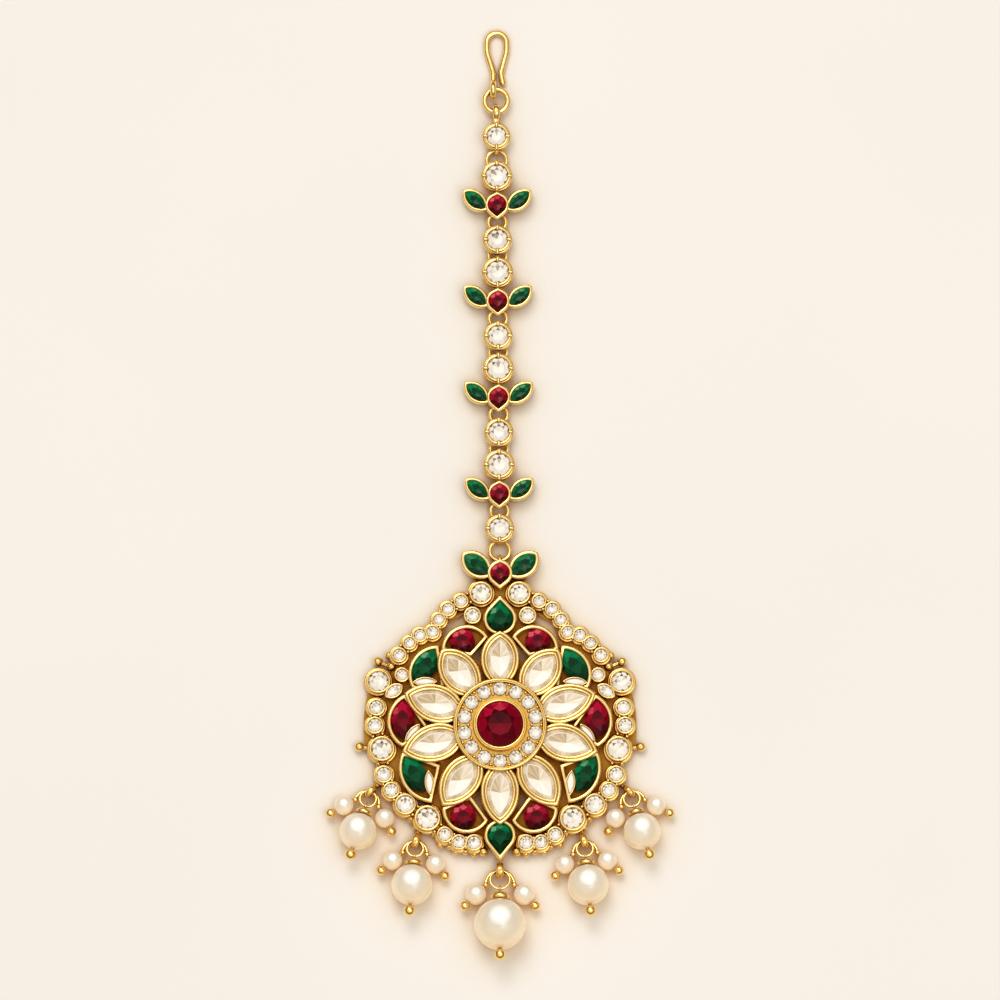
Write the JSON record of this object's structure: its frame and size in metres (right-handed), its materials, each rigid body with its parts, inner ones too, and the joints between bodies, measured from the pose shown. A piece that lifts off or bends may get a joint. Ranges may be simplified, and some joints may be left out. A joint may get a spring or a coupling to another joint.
{
  "type": "maang tikka",
  "caption": "Forehead jewel with a round kundan rosette pendant, red, green and clear stones, pearl drops, and a chain of set stones ending in a wire hair hook.",
  "frame": {"origin": "middle of the rosette on the pendant's flat back face", "axes": "+X to the wearer's left as the jewel faces out, which is right in the face-up view, +Y up the chain to the hook, +Z out of the jewel's face"},
  "size_m": [0.0522, 0.1414, 0.0078],
  "materials": {
    "gold": "polished gold plating, darker in the recesses",
    "ruby": "faceted deep red glass stone",
    "emerald": "faceted dark green glass stone",
    "crystal": "brilliant cut clear stone over foil",
    "polki": "flat cut clear stone over pale foil",
    "pearl": "soft pearl lustre, warm white"
  },
  "bodies": {
    "root": {"arch_wires": "gold", "center_ruby": "ruby", "chain_crystals": "crystal", "chain_emeralds": "emerald", "chain_link_1": "gold", "chain_link_2": "gold", "chain_link_3": "gold", "chain_link_4": "gold", "chain_link_5": "gold", "chain_link_6": "gold", "chain_link_7": "gold", "chain_link_8": "gold", "chain_link_9": "gold", "chain_rings": "gold", "chain_rubies": "ruby", "crest_emeralds": "emerald", "crest_ruby": "ruby", "drop_rings": "gold", "emerald_bottom": "emerald", "emerald_lower_left": "emerald", "emerald_lower_right": "emerald", "emerald_top": "emerald", "emerald_upper_left": "emerald", "emerald_upper_right": "emerald", "filler_crystals": "crystal", "halo_crystals": "crystal", "hook": "gold", "main_pins": "gold", "moon_crystals": "crystal", "pearl_caps": "gold", "pearl_center": "pearl", "pearl_inner_left": "pearl", "pearl_inner_right": "pearl", "pearl_outer_left": "pearl", "pearl_outer_right": "pearl", "pendant_frame": "gold", "petal_bottom": "polki", "petal_lower_left": "polki", "petal_lower_right": "polki", "petal_side_lower_left": "polki", "petal_side_lower_right": "polki", "petal_side_upper_left": "polki", "petal_side_upper_right": "polki", "petal_top": "polki", "petal_upper_left": "polki", "petal_upper_right": "polki", "rim_crystals": "crystal", "ruby_lower_left": "ruby", "ruby_lower_right": "ruby", "ruby_side_left": "ruby", "ruby_side_right": "ruby", "ruby_upper_left": "ruby", "ruby_upper_right": "ruby", "small_pearls": "pearl", "top_ring": "gold"}
  },
  "joints": []
}
